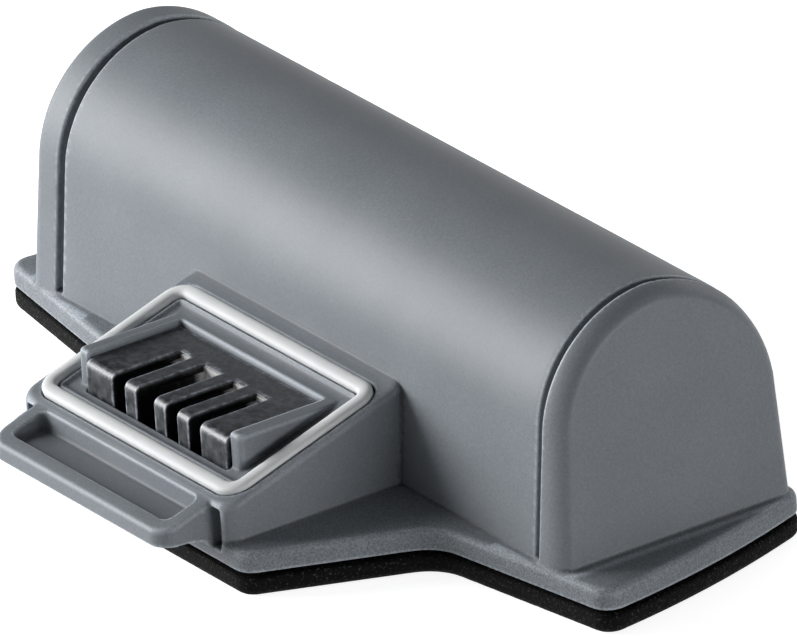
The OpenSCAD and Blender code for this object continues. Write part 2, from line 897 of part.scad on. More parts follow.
module power_switch_chips() {
    color("#2a2a2c")
        for (i = [0, 1])
            chip(board_w/2 - switch_margin - i*switch_pitch, switch_chip, 4);
}

module chip_components() {
    count = 5;
    pitch = (board_w - 2*small_margin)/count;
    color("tan")
        for (i = [0:count - 1])
            translate([-board_w/2 + small_margin + i*pitch, small_row_y,
                       board_z - board_t - small_chip.z])
                cube(small_chip);
}

module solder_joints() {
    color("silver") {
        for (i = [0:3])
            translate([slot_mid(i), -slot_rear + contact_t/2, board_z - board_t - 0.55])
                difference() {
                    cylinder(d1 = 1.1, d2 = 1.9, h = 0.55, $fn = 24);
                    translate([-tail_w/2, -contact_t/2, -through])
                        cube([tail_w, contact_t, 2*through]);
                }
        for (side = [-1, 1])
            translate([side*wire_land_x, wire_land_y, board_z])
                difference() {
                    cylinder(d1 = 2.6, d2 = 1.7, h = 0.7, $fn = 24);
                    translate([0, 0, -through])
                        cylinder(d = wire_d, h = 2*through + 1, $fn = 24);
                }
    }
}

module board_screws() {
    color("silver")
        for (side = [-1, 1])
            translate([side*boss_x, boss_y, board_z - board_t])
                difference() {
                    union() {
                        translate([0, 0, -0.9])
                            cylinder(d = screw_head_d, h = 0.9, $fn = round_fn);
                        cylinder(d = screw_d, h = board_t + screw_bite, $fn = round_fn);
                    }
                    for (turn_angle = [0, 90])
                        rotate([0, 0, turn_angle])
                            translate([-0.8, -0.15, -1])
                                cube([1.6, 0.3, 0.5]);
                }
}

// Thermistor bead against the cell, with two leads down to the board

bead_r = 0.9;
bead_angle = 222;
bead_y = (sleeve_d/2 + bead_r)*cos(bead_angle);
bead_z = arch_z + (sleeve_d/2 + bead_r)*sin(bead_angle);

module thermistor() {
    color("#3a3a3c")
        translate([0, bead_y, bead_z])
            sphere(r = bead_r, $fn = 24);
}

module thermistor_leads() {
    lead_d = 0.4;
    spread = 1.2;
    land_y = board_rear - 1.2;
    color("silver")
        for (side = [-1, 1])
            wire([[side*bead_r/2, bead_y - bead_r - 0.03, bead_z - 0.1],
                  [side*spread, land_y, bead_z - 1.2],
                  [side*spread, land_y, board_z]], lead_d, 0.5, [1, 0, 0]);
}

// Foam

module end_pad(x0, x1) {
    color("#45464a")
        box([x0, -strip_w, strip_low_z + 2.6], [x1, strip_w, arch_z + strip_w]);
}

module positive_end_pad() {
    end_pad(positive_x + strip_t, chamber_x);
}

module negative_end_pad() {
    end_pad(-chamber_x, negative_x - strip_t);
}

// A strip of foam between the cell and the arch
module top_foam_strip() {
    half_angle = 24;
    low = sleeve_d/2;
    color("#45464a")
        translate([-cell_l/2 + 8, 0, arch_z])
            rotate([0, 90, 0])
                rotate([0, 0, 180 - half_angle])
                    rotate_extrude(angle = 2*half_angle, $fn = round_fn)
                        translate([low, 0])
                            square([cell_gap, cell_l - 16]);
}

housing();
bottom_cover();
seal();
plug_insert();
contact(0);  // contact_1
contact(1);  // contact_2
contact(2);  // contact_3
contact(3);  // contact_4
spring_cheek(0);  // spring_cheek_1
spring_cheek(1);  // spring_cheek_2
spring_cheek(2);  // spring_cheek_3
spring_cheek(3);  // spring_cheek_4
cell_can();
cell_sleeve();
cell_cap();
cell_insulating_ring();
positive_strip();
negative_strip();
positive_wire();
negative_wire();
circuit_board();
protection_chip();
power_switch_chips();
chip_components();
solder_joints();
board_screws();
thermistor();
thermistor_leads();
positive_end_pad();
negative_end_pad();
top_foam_strip();
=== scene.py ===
"""Looks of a window vacuum's battery: finishes, floor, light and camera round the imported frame."""

import json
import math

import bpy
import numpy as np
import openvdb
from mathutils import Matrix, Vector


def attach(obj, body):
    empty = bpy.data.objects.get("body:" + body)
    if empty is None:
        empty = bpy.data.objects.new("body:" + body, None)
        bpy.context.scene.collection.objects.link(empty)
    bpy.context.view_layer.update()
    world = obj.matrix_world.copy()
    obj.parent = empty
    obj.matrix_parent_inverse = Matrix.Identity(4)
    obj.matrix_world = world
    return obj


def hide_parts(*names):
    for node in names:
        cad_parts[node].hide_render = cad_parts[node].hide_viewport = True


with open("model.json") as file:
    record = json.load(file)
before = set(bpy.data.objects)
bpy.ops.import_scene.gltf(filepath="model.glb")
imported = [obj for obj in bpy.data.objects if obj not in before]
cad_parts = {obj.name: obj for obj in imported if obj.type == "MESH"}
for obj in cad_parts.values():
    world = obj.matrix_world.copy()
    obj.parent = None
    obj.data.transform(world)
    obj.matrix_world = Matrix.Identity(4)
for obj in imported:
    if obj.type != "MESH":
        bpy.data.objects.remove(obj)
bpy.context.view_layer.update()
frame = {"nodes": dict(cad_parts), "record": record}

# Metres in a millimetre. Sizes here are in millimetres and angles in degrees, apart from the lamps.
MM = 0.001

# Stands in for zero where a number is divided by
TINY = 1e-6

# The material slot of each CAD node
SLOTS = {part["node"]: part["material_slot"] for part in frame["record"]["subparts"]}

# Housing. X runs along the cell's axis, and Y is measured from it, with the front at -Y.
DECK_Z = 4.2                # top of the deck
ARCH_Z = DECK_Z + 10.5      # axis of the arch, which is the cell's too
ARCH_R = 11.4               # outer radius of the arch over the end bands
BODY_L = 78                 # length of the body where it stands on the deck
BODY_FRONT = 12.5           # the front wall's foot, from the axis
BODY_REAR = 11.7            # the rear wall's foot, from the axis
CHAMBER_R = 9.6             # radius of the cell's chamber
CHAMBER_X = 36.8            # half the chamber's length
CHAMBER_Y = 10.1            # half the chamber's width below the axis
FACE_SLOPE = 17.3           # slope of the block's face
CONTACT_ROOT_Y = -19.4      # root of the contacts, at the rear end of the slots

# Bands, grooves and end faces of the body
BAND_W = 3.4                # width of each raised end band
BAND_STEP = 0.2             # how far the bands stand proud of the body between them
GROOVE_W = 0.7              # width of the groove beside each band
GROOVE_D = 0.3              # its depth below the body between the bands
LINE_W = 0.34               # width of the fine dark line along the groove
LINE_DEPTH = 0.55           # its depth below the groove's floor
BAND_EASE = 0.35            # how far the rear shoulder falls back on the bands
SHOULDER_EASE = 0.2         # how far it falls back between them
NEAR_END = (4, 2.7, 1.5)    # the +X end face: its lean, and its rounding's length and inset
FAR_END = (1, 0.8, 0.4)     # the same for the -X end face
ENDS_FROM = 30              # distance from the middle where the ends' own form starts
END_MARGIN = 1              # how far past an end face the form is worked out
FORM_OVERLAP = 0.4          # how far the form reaches into the deck, and stays off the chamber

# Normals that are turned to the arch's exact section
TRUE_FROM = CHAMBER_R + 0.3     # distance from the axis where the outer surface starts
TRUE_PAST = 1                   # how far into an end's rounding they are turned
TRUE_FADE = 25                  # angle before the top in which the shoulder's lean fades out
TRUE_SHARE = 0.9                # least share of a normal's slope that lies along the section

# Cover
COVER_EDGE_Z = 1.7          # height of the cover's side
COVER_GROWTH = 0.3          # how far the side comes out
COVER_FADE = 3              # how steeply the growth comes in: 1 would take the side's whole height

# Seal, let into the block's sloping face. Its front and rear are measured from the cell's axis.
SEAL_W = 29.5
SEAL_FRONT = 28.9
SEAL_REAR = 12.9
SEAL_FACE_H = 3.3           # height of the sloping face's front edge above the deck
SEAL_BLOCK_FRONT = 29.9     # that edge's distance from the cell's axis
SEAL_BAND = 1.5             # width of the channel that holds the seal
SEAL_GAP = 0.1              # gap between the bead and each side of the channel
SEAL_CORNER_R = 2.2
SEAL_PROUD = 0.5            # how far the bead's crown stands out of the face
SEAL_FOOT = 0.6             # how far its foot reaches into the face
SEAL_CROWN = 0.6            # 1 gives a crown of half an ellipse, and less a flatter one
SEAL_CORNER_STEPS = 16
SEAL_CROWN_POINTS = 33

# Rebuilt surfaces
SOFTNESS = 0.9              # rounding of edges, in cells of the mesh
BLUR_REACH = 2.5            # how many times that rounding the smoothing reaches
EDGE_LAYER = "edge"         # the mesh attribute that tells edges from hollows
EDGE_REACH = 0.3            # how far from an edge its painted highlight and hollow shade reach

# Spans of the edge attribute over which the painted edge highlight and the painted shade in hollows
# come in
RIDGE_SPAN = (0.10, 0.55)
HOLLOW_SPAN = (-0.55, -0.08)

# Spans that hold most of a noise's values, and the core of them
NOISE_SPAN = (0.3, 0.7)
NOISE_CORE = (0.35, 0.65)

# Dark and light tone of each material that shows, as linear red, green and blue
GREY_TONES = ((0.172, 0.189, 0.208), (0.188, 0.206, 0.226))
BLACK_TONES = ((0.0012, 0.0012, 0.0014), (0.060, 0.063, 0.067))
SEAL_TONES = ((0.62, 0.635, 0.64), (0.72, 0.735, 0.74))
INSERT_TONES = ((0.014, 0.015, 0.017), (0.070, 0.075, 0.085))
# The contacts' dark tone is painted shade and their light tone a painted glint
CONTACT_TONES = ((0.030, 0.030, 0.031), (0.94, 0.94, 0.93))

# Inner metals: clean tone, dull tone, roughness, and how fine the streaks are along X, Y and Z
METALS = {
    "can_steel": ((0.60, 0.61, 0.62), (0.50, 0.51, 0.52), 0.22, (1, 10, 10)),
    "nickel_strip": ((0.66, 0.65, 0.61), (0.56, 0.55, 0.52), 0.28, (1, 1, 10)),
    "solder": ((0.70, 0.70, 0.71), (0.58, 0.58, 0.60), 0.30, (1, 1, 1)),
    "screw_steel": ((0.56, 0.56, 0.57), (0.44, 0.44, 0.46), 0.26, (6, 6, 1)),
}

# Inner coats and films: two tones, size of their mottles, roughness, and depth of the grain
COATS = {
    "sleeve_film": ((0.035, 0.21, 0.15), (0.028, 0.17, 0.12), 4, 0.22, 0.004),
    "fibre_paper": ((0.74, 0.72, 0.66), (0.60, 0.58, 0.52), 0.6, 0.75, 0.02),
    "red_insulation": ((0.46, 0.022, 0.020), (0.36, 0.016, 0.015), 1.5, 0.36, 0.006),
    "black_insulation": ((0.014, 0.014, 0.015), (0.026, 0.026, 0.027), 1.5, 0.36, 0.006),
    "board_laminate": ((0.012, 0.115, 0.048), (0.018, 0.150, 0.062), 2.0, 0.30, 0.006),
    "chip_epoxy": ((0.014, 0.014, 0.015), (0.024, 0.024, 0.025), 0.5, 0.50, 0.006),
    "ceramic": ((0.42, 0.29, 0.17), (0.33, 0.22, 0.12), 0.4, 0.40, 0.004),
    "foam": ((0.050, 0.051, 0.055), (0.075, 0.076, 0.080), 0.9, 0.85, 0.09),
}

# The photograph's camera, worked out from the object's straight edges
IMAGE_WIDTH = 797
FOCAL_PIXELS = 26175.62
SENSOR_WIDTH = 36
VIEW_AZIMUTH = 56.65
VIEW_ELEVATION = 24.95
VIEW_ROLL = -3.91
VIEW_DISTANCE = 2205.73
VIEW_OFFSET = (1.42, -5.48)

# Floor and surrounding light
FLOOR_HALF = 6000
FLOOR_GREY = 0.62
FLOOR_ROUGHNESS = 0.8
FLOOR_GLOW = 0.86           # makes the floor white to the camera and in reflections
WORLD_GLOW = 0.045

# Lamps: place, width and height in metres, and power in watts
LAMPS_AIM = (0, -0.01, 0.012)
LAMPS = {
    "left_box": ((-0.37, -0.29, 0.15), (0.34, 0.28), 4.3),
    "front_box": ((-0.10, -0.60, 0.25), (0.4, 0.3), 0.35),
    "side_box": ((0.88, 0.17, 0.13), (0.5, 0.16), 3.8),
    "rear_box": ((-0.3, 0.7, 0.35), (0.7, 0.4), 1.9),
}


# Shader helpers

def shader(name):
    """A new material with its node tree, principled shader and object coordinates."""
    material = bpy.data.materials.new(name)
    material.use_nodes = True
    tree = material.node_tree
    surface = tree.nodes["Principled BSDF"]
    place = tree.nodes.new("ShaderNodeTexCoord").outputs["Object"]
    return material, tree, surface, place


def noise(tree, place, size, detail, roughness=0.5):
    """Noise whose blobs are about the given size."""
    node = tree.nodes.new("ShaderNodeTexNoise")
    node.inputs["Scale"].default_value = 1 / (size * MM)
    node.inputs["Detail"].default_value = detail
    node.inputs["Roughness"].default_value = roughness
    tree.links.new(place, node.inputs["Vector"])
    return node.outputs["Fac"]


def stretched(tree, place, scale):
    """Coordinates scaled along each axis, for streaks."""
    node = tree.nodes.new("ShaderNodeMapping")
    node.inputs["Scale"].default_value = scale
    tree.links.new(place, node.inputs["Vector"])
    return node.outputs["Vector"]


def ramp(tree, value, span, result):
    """Maps a value from its span onto the span of the result."""
    node = tree.nodes.new("ShaderNodeMapRange")
    for name, number in zip(("From Min", "From Max", "To Min", "To Max"), (*span, *result)):
        node.inputs[name].default_value = number
    tree.links.new(value, node.inputs["Value"])
    return node.outputs["Result"]


def component(tree, vector, axis):
    """One component of a vector."""
    node = tree.nodes.new("ShaderNodeSeparateXYZ")
    tree.links.new(vector, node.inputs["Vector"])
    return node.outputs[axis]


def along_axis(tree, place, axis, span, result):
    """Maps the place along an axis onto the span of the result."""
    low, high = span
    return ramp(tree, component(tree, place, axis), (low * MM, high * MM), result)


def product(tree, first, second):
    """Two values multiplied."""
    node = tree.nodes.new("ShaderNodeMath")
    node.operation = "MULTIPLY"
    tree.links.new(first, node.inputs[0])
    tree.links.new(second, node.inputs[1])
    return node.outputs["Value"]


def faded(tree, value, amount):
    """A brightness that is 1 where the amount is 0, and the value where the amount is 1."""
    node = tree.nodes.new("ShaderNodeMix")
    node.inputs["A"].default_value = 1
    tree.links.new(value, node.inputs["B"])
    tree.links.new(amount, node.inputs["Factor"])
    return node.outputs["Result"]


def edge_shade(tree, hollow, ridge):
    """Painted light: a brightness that goes to the first value in hollows, as painted shade, and to
    the second on edges, as a painted highlight.
    """
    node = tree.nodes.new("ShaderNodeAttribute")
    node.attribute_name = EDGE_LAYER
    edge = node.outputs["Fac"]
    return product(tree, ramp(tree, edge, RIDGE_SPAN, (1, ridge)),
                   ramp(tree, edge, HOLLOW_SPAN, (hollow, 1)))


def multiplied(tree, colour, factor):
    """A colour times a brightness."""
    node = tree.nodes.new("ShaderNodeVectorMath")
    node.operation = "SCALE"
    tree.links.new(colour, node.inputs[0])
    tree.links.new(factor, node.inputs["Scale"])
    return node.outputs["Vector"]


def mixed(tree, factor, first, second):
    """A colour between two, by a factor."""
    node = tree.nodes.new("ShaderNodeMix")
    node.data_type = "RGBA"
    node.inputs["A"].default_value = (*first, 1)
    node.inputs["B"].default_value = (*second, 1)
    tree.links.new(factor, node.inputs["Factor"])
    return node.outputs["Result"]


def set_finish(tree, surface, colour, roughness):
    """Gives the shader its colour and roughness."""
    tree.links.new(colour, surface.inputs["Base Color"])
    tree.links.new(roughness, surface.inputs["Roughness"])


def bumped(tree, surface, height, depth, strength):
    """Bump whose full height is the given depth."""
    node = tree.nodes.new("ShaderNodeBump")
    node.inputs["Strength"].default_value = strength
    node.inputs["Distance"].default_value = depth * MM
    tree.links.new(height, node.inputs["Height"])
    tree.links.new(node.outputs["Normal"], surface.inputs["Normal"])


# Materials

def grey_plastic():
    """Grey moulded plastic, smooth on the body and coarser in grain from the deck down."""
    material, tree, surface, place = shader("grey_plastic")
    cloud = noise(tree, place, size=9, detail=3)
    grain = noise(tree, place, size=0.30, detail=4, roughness=0.65)
    sand = noise(tree, place, size=0.16, detail=2, roughness=0.6)
    tint = mixed(tree, ramp(tree, cloud, NOISE_CORE, (0, 1)), *GREY_TONES)
    speckled = multiplied(tree, tint, ramp(tree, grain, NOISE_SPAN, (0.92, 1.08)))
    fade_top = DECK_Z + 0.4
    low_down = along_axis(tree, place, "Z", span=(fade_top, DECK_Z), result=(0.25, 1))
    sandy = faded(tree, ramp(tree, sand, NOISE_CORE, (0.72, 1.30)), low_down)
    # painted highlight on the edges and painted shade in the hollows, multiplied into the colour
    edge_painted = multiplied(tree, multiplied(tree, speckled, sandy), edge_shade(tree, hollow=0.3, ridge=2.3))
    set_finish(tree, surface, edge_painted, ramp(tree, grain, NOISE_SPAN, (0.42, 0.52)))
    surface.inputs["Specular IOR Level"].default_value = 0.2
    bumped(tree, surface, grain, depth=0.014, strength=0.45)
    return material


def black_plastic():
    """Coarse black plastic, which takes little light and sparkles faintly on its grain."""
    material, tree, surface, place = shader("black_plastic")
    grain = noise(tree, place, size=0.26, detail=4, roughness=0.7)
    peaks = ramp(tree, grain, span=(0.57, 0.70), result=(0, 1))
    set_finish(tree, surface, mixed(tree, peaks, *BLACK_TONES),
               ramp(tree, grain, NOISE_SPAN, (0.80, 0.60)))
    surface.inputs["Specular IOR Level"].default_value = 0.08
    bumped(tree, surface, grain, depth=0.14, strength=0.9)
    return material


def seal_rubber():
    """Pale soft rubber, faintly clouded."""
    material, tree, surface, place = shader("seal_rubber")
    cloud = noise(tree, place, size=3, detail=3)
    grain = noise(tree, place, size=0.25, detail=2)
    set_finish(tree, surface, mixed(tree, cloud, *SEAL_TONES),
               ramp(tree, grain, NOISE_SPAN, (0.55, 0.66)))
    surface.inputs["Specular IOR Level"].default_value = 0.3
    bumped(tree, surface, grain, depth=0.01, strength=0.3)
    return material


def insert_plastic():
    """Near-black plastic, scuffed where blades can reach it, with painted highlights on its edges and
    painted shade on the slots' walls.
    """
    material, tree, surface, place = shader("insert_plastic")
    scuff = noise(tree, stretched(tree, place, (1.4, 1.4, 1.0)), size=1.0, detail=6, roughness=0.72)
    tint = mixed(tree, ramp(tree, scuff, span=(0.42, 0.62), result=(0, 1)), *INSERT_TONES)
    # painted highlight on the edges and painted shade in the hollows, multiplied into the colour
    edge_painted = multiplied(tree, tint, edge_shade(tree, hollow=0.3, ridge=5.0))
    side = component(tree, tree.nodes["Texture Coordinate"].outputs["Normal"], "X")
    # painted shade: faces turned along X, the slots' walls, are darkened to near black
    clean_tone_and_slot_shade = ramp(tree, product(tree, side, side), span=(0.6, 0.95), result=(1, 0.15))
    gloss = ramp(tree, scuff, span=(0.35, 0.7), result=(0.32, 0.48))
    set_finish(tree, surface, multiplied(tree, edge_painted, clean_tone_and_slot_shade), gloss)
    bumped(tree, surface, noise(tree, place, size=0.25, detail=3), depth=0.02, strength=0.5)
    return material


def plated_contact():
    """Plated spring metal, with a painted glint at the root of each contact and painted shade on the
    rest of it, down in the slots.
    """
    material, tree, surface, place = shader("plated_contact")
    surface.inputs["Metallic"].default_value = 0.35
    # painted glint over the last millimetre at the contacts' root, and painted shade further forward
    # along Y
    glint_ends = (CONTACT_ROOT_Y - 1.0, CONTACT_ROOT_Y - 0.3)
    painted_glint = along_axis(tree, place, "Y", span=glint_ends, result=(0, 1))
    brush = noise(tree, stretched(tree, place, (1, 1, 12)), size=0.2, detail=3)
    set_finish(tree, surface, mixed(tree, painted_glint, *CONTACT_TONES),
               ramp(tree, brush, NOISE_SPAN, (0.26, 0.42)))
    bumped(tree, surface, brush, depth=0.006, strength=0.4)
    return material


def metal(name, clean_tone_and_slot_shade, dull, roughness, streak):
    """Bare metal with fine streaks along one axis and some dull patches."""
    material, tree, surface, place = shader(name)
    surface.inputs["Metallic"].default_value = 1.0
    brush = noise(tree, stretched(tree, place, streak), size=0.2, detail=3)
    patch = noise(tree, place, size=2.5, detail=3)
    set_finish(tree, surface, mixed(tree, patch, clean_tone_and_slot_shade, dull),
               ramp(tree, brush, NOISE_SPAN, (roughness, roughness + 0.15)))
    bumped(tree, surface, brush, depth=0.006, strength=0.4)
    return material


def coated(name, first, second, size, roughness, depth):
    """A matt or glossy coat, film or cast surface with a mottled colour and fine grain."""
    material, tree, surface, place = shader(name)
    mottle = noise(tree, place, size, detail=4)
    grain = noise(tree, place, size / 6, detail=3)
    set_finish(tree, surface, mixed(tree, mottle, first, second),
               ramp(tree, grain, NOISE_SPAN, (roughness, roughness + 0.12)))
    bumped(tree, surface, grain, depth, strength=0.5)
    return material


def make_materials():
    """One material for each slot of the record."""
    made = {
        "grey_plastic": grey_plastic(),
        "black_plastic": black_plastic(),
        "seal_rubber": seal_rubber(),
        "insert_plastic": insert_plastic(),
        "plated_contact": plated_contact(),
    }
    made.update({name: metal(name, *values) for name, values in METALS.items()})
    made.update({name: coated(name, *values) for name, values in COATS.items()})
    return made


# Mesh helpers

def mesh_object(name, points, faces, normals=None):
    """A smooth-shaded object from points, with vertex normals if they are given."""
    mesh = bpy.data.meshes.new(name)
    mesh.from_pydata((points * MM).tolist(), [], faces)
    mesh.validate()
    mesh.polygons.foreach_set("use_smooth", [True] * len(mesh.polygons))
    if normals is not None:
        mesh.normals_split_custom_set_from_vertices(normals.tolist())
    mesh.update()
    piece = bpy.data.objects.new(name, mesh)
    bpy.context.scene.collection.objects.link(piece)
    return piece


def node_triangles(name):
    """Points and triangles of a CAD node."""
    mesh = frame["nodes"][name].data
    mesh.calc_loop_triangles()
    points = np.zeros(len(mesh.vertices) * 3, np.float32)
    mesh.vertices.foreach_get("co", points)
    triangles = np.zeros(len(mesh.loop_triangles) * 3, np.int32)
    mesh.loop_triangles.foreach_get("vertices", triangles)
    return points.reshape(-1, 3) / np.float32(MM), triangles.reshape(-1, 3)


def blurred(field, sigma):
    """A distance field smoothed by a bell curve of sigma cells, which rounds its edges."""
    reach = math.ceil(BLUR_REACH * sigma)
    steps = np.arange(-reach, reach + 1)
    weights = np.exp(-0.5 * (steps / sigma) ** 2)
    weights /= weights.sum()
    for axis in range(3):
        count = field.shape[axis]
        total = np.zeros_like(field)
        for step, weight in zip(steps, weights):
            taken = [slice(None)] * 3
            given = [slice(None)] * 3
            taken[axis] = slice(max(0, step), count + min(0, step))
            given[axis] = slice(max(0, -step), count - max(0, step))
            total[tuple(given)] += np.float32(weight) * field[tuple(taken)]
        field = total
    return field


def slopes_at(field, cells):
    """Unit gradients of a field at points given in cells."""
    low = np.clip(np.floor(cells).astype(int), 1, np.array(field.shape) - 3)
    part = (cells - low).astype(np.float32)
    result = np.zeros((len(cells), 3), np.float32)
    for corner in np.ndindex(2, 2, 2):
        at = low + np.array(corner)
        share = np.prod(np.where(corner, part, 1 - part), axis=1)
        for axis in range(3):
            step = np.eye(3, dtype=int)[axis]
            ahead = field[tuple((at + step).T)]
            behind = field[tuple((at - step).T)]
            result[:, axis] += share * (ahead - behind)
    return result / np.maximum(np.linalg.norm(result, axis=1), TINY)[:, None]


def edges_at(field, cells, reach, cell):
    """How sharply a surface turns at points given in cells, as seen from the given reach.
    It is 1 on a square edge and -1 in a square corner."""
    step = max(1, round(reach / cell))
    near = np.clip(np.rint(cells).astype(int), step, np.array(field.shape) - 1 - step)
    total = -6 * field[tuple(near.T)]
    for axis in range(3):
        for way in (-step, step):
            at = near.copy()
            at[:, axis] += way
            total += field[tuple(at.T)]
    return total / (2 * step * cell)


def moulded(name, cell, adaptivity, correct=None, carve=None):
    """The node's surface rebuilt with softly rounded edges and inner corners, as moulding leaves it.
    cell is the size of the mesh. carve changes the distance field before it is smoothed, and correct
    the points and normals after."""
    softness = SOFTNESS
    points, triangles = node_triangles(name)
    margin = math.ceil(BLUR_REACH * softness) + 2
    grid = openvdb.FloatGrid.createLevelSetFromPolygons(
        points, triangles=triangles, transform=openvdb.createLinearTransform(voxelSize=cell),
        halfWidth=margin + 1)
    low, high = (np.array(corner) for corner in grid.evalActiveVoxelBoundingBox())
    low -= margin
    field = np.zeros(high - low + margin + 1, np.float32)
    origin = tuple(int(v) for v in low)
    grid.copyToArray(field, ijk=origin)
    if carve is not None:
        field = carve(field, low, cell)
    field = blurred(field, softness)
    soft = openvdb.FloatGrid(grid.background)
    soft.transform = grid.transform
    soft.copyFromArray(field, ijk=origin, tolerance=1e-5)
    points, triangles, quads = soft.convertToPolygons(isovalue=0.0, adaptivity=adaptivity)
    normals = slopes_at(field, points / cell - low)
    edges = edges_at(field, points / cell - low, EDGE_REACH, cell)
    if correct is not None:
        points, normals = correct(points.astype(float), normals)
    piece = mesh_object(name + "_moulding", points, triangles.tolist() + quads.tolist(), normals)
    piece.data.attributes.new(EDGE_LAYER, "FLOAT", "POINT").data.foreach_set("value", edges)
    return piece


# Forms of the housing and cover

def tangent_angle(foot, radius=ARCH_R):
    """Angle round the cell's axis at which the arch passes into a wall with its foot that far out."""
    rise = ARCH_Z - DECK_Z
    return math.atan2(-rise, foot) + math.acos(radius / math.hypot(foot, rise))


def polar(y, z):
    """Distance from the cell's axis and the angle round it, from the rear side upwards."""
    rise = z - ARCH_Z
    angle = np.arctan2(rise, y)
    return np.hypot(y, rise), np.where(angle < -math.pi / 2, angle + 2 * math.pi, angle)


def section_distance(y, z, inside, ease):
    """Distance from a section of the body, below zero within it. The section lies inside that of the
    bands by the given distance, and its rear shoulder falls back by ease."""
    radius = ARCH_R - inside
    distance, angle = polar(y, z)
    start = tangent_angle(BODY_REAR - inside, radius)
    end = math.pi - tangent_angle(BODY_FRONT - inside, radius)
    shoulder = np.where((angle > 0) & (angle < math.pi / 2), np.sin(2 * angle), 0)
    walls = [y * math.cos(a) + (z - ARCH_Z) * math.sin(a) - radius for a in (start, end)]
    arch = distance - (radius - ease * shoulder)
    return np.where((angle > start) & (angle < end), arch, np.maximum(*walls)).astype(np.float32)


def rounded_end(section, depth, length, inset):
    """Distance from the body near its end face, whose edge is a quarter of an ellipse.
    depth is the way in from the end face."""
    along = np.maximum((length - depth) / length, 0)
    across = np.maximum((inset + section) / inset, 0)
    reach = np.maximum(np.hypot(along, across), TINY)
    slope = np.maximum(np.hypot(along / length, across / inset), TINY)
    rounding = (reach - 1) * reach / slope
    return np.where((along > 0) & (across > 0), rounding, np.maximum(section, -depth))


def grid_places(field, low, cell):
    """Places of a field's cells along each axis, where low is the first cell."""
    return [((np.arange(count) + start) * cell).astype(np.float32)
            for count, start in zip(field.shape, low)]


def body_form(field, low, cell):
    """Gives the body over the deck its bands, grooves and end faces, outside the chamber."""
    x, y, z = grid_places(field, low, cell)
    y = y[:, None]
    z = z[None, :]
    band_x = BODY_L / 2 - BAND_W
    middle_x = band_x - GROOVE_W
    banded = section_distance(y, z, 0, BAND_EASE)
    middle = section_distance(y, z, BAND_STEP, SHOULDER_EASE)
    floor = section_distance(y, z, BAND_STEP + GROOVE_D, SHOULDER_EASE)
    chamber = np.minimum(polar(y, z)[0] - CHAMBER_R, np.maximum(np.abs(y) - CHAMBER_Y, z - ARCH_Z))
    under = DECK_Z - FORM_OVERLAP - z
    outside = polar(y, z)[0] > CHAMBER_R + FORM_OVERLAP
    for part, place in zip(field, x):
        reach = abs(place)
        if reach > BODY_L / 2 + END_MARGIN:
            continue
        body = np.maximum(middle, reach - middle_x)
        if reach > ENDS_FROM:
            lean, length, inset = NEAR_END if place > 0 else FAR_END
            depth = BODY_L / 2 - reach - math.tan(math.radians(lean)) * np.maximum(z - DECK_Z, 0)
            band = np.maximum(rounded_end(banded, depth, length, inset), band_x - reach)
            groove_way = abs(reach - (band_x + middle_x) / 2)
            groove = np.maximum(floor, groove_way - GROOVE_W / 2)
            body = np.minimum(np.minimum(body, band), groove)
        wall = np.maximum(body, FORM_OVERLAP - np.maximum(chamber, reach - CHAMBER_X))
        np.minimum(part, np.maximum(wall, under), out=part)
        if reach > ENDS_FROM:
            line = np.minimum(LINE_W / 2 - groove_way, floor + LINE_DEPTH)
            body = np.where(outside, np.maximum(body, line), body)
            np.copyto(part, np.maximum(part, body), where=z > DECK_Z + cell)
    limit = field[0, 0, 0]
    return np.clip(field, -limit, limit)


def cover_form(field, low, cell):
    """Brings the cover's side out level with the deck's edge."""
    z = grid_places(field, low, cell)[2]
    share = np.where(z < COVER_EDGE_Z + cell, np.clip(z / COVER_EDGE_Z * COVER_FADE, 0, 1), 0)
    return field - (COVER_GROWTH * share).astype(np.float32)


def true_arch(points, normals):
    """Turns the outer normals over the arch to its exact section, with its eased rear shoulder."""
    band_x = BODY_L / 2 - BAND_W
    round_x = np.where(points[:, 0] > 0, BODY_L / 2 - NEAR_END[1], BODY_L / 2 - FAR_END[1])
    reach = np.abs(points[:, 0])
    distance, angle = polar(points[:, 1], points[:, 2])
    over_arch = (angle > tangent_angle(BODY_REAR)) & (angle < math.pi - tangent_angle(BODY_FRONT))
    beside_groove = (reach > band_x) | (reach < band_x - GROOVE_W)
    chosen = (distance > TRUE_FROM) & over_arch & beside_groove & (reach < round_x + TRUE_PAST)
    ease = np.where(reach > band_x, BAND_EASE, SHOULDER_EASE)
    rear = (angle > 0) & (angle < math.pi / 2)
    hold = np.clip((math.pi / 2 - angle) / math.radians(TRUE_FADE), 0, 1)
    lean = np.where(rear, 2 * ease * np.cos(2 * angle) * hold, 0)
    section = np.stack([distance * np.cos(angle) - lean * np.sin(angle),
                        distance * np.sin(angle) + lean * np.cos(angle)], axis=1)
    section /= np.linalg.norm(section, axis=1)[:, None]
    across = np.sqrt(np.clip(1 - normals[:, 0] ** 2, 0, 1))
    along = (normals[:, 1:] * section).sum(axis=1)
    chosen &= along > TRUE_SHARE * across
    normals[chosen, 1:] = section[chosen] * across[chosen, None]
    return points, normals


# Seal

def face_frame():
    """Axes and origin of the sloping face, with the seal's middle at its origin."""
    slope = math.radians(FACE_SLOPE)
    middle = -(SEAL_FRONT + SEAL_REAR) / 2
    height = DECK_Z + SEAL_FACE_H + math.tan(slope) * (middle + SEAL_BLOCK_FRONT)
    across = np.array([1.0, 0.0, 0.0])
    upward = np.array([0.0, math.cos(slope), math.sin(slope)])
    outward = np.array([0.0, -math.sin(slope), math.cos(slope)])
    return across, upward, outward, np.array([0.0, middle, height])


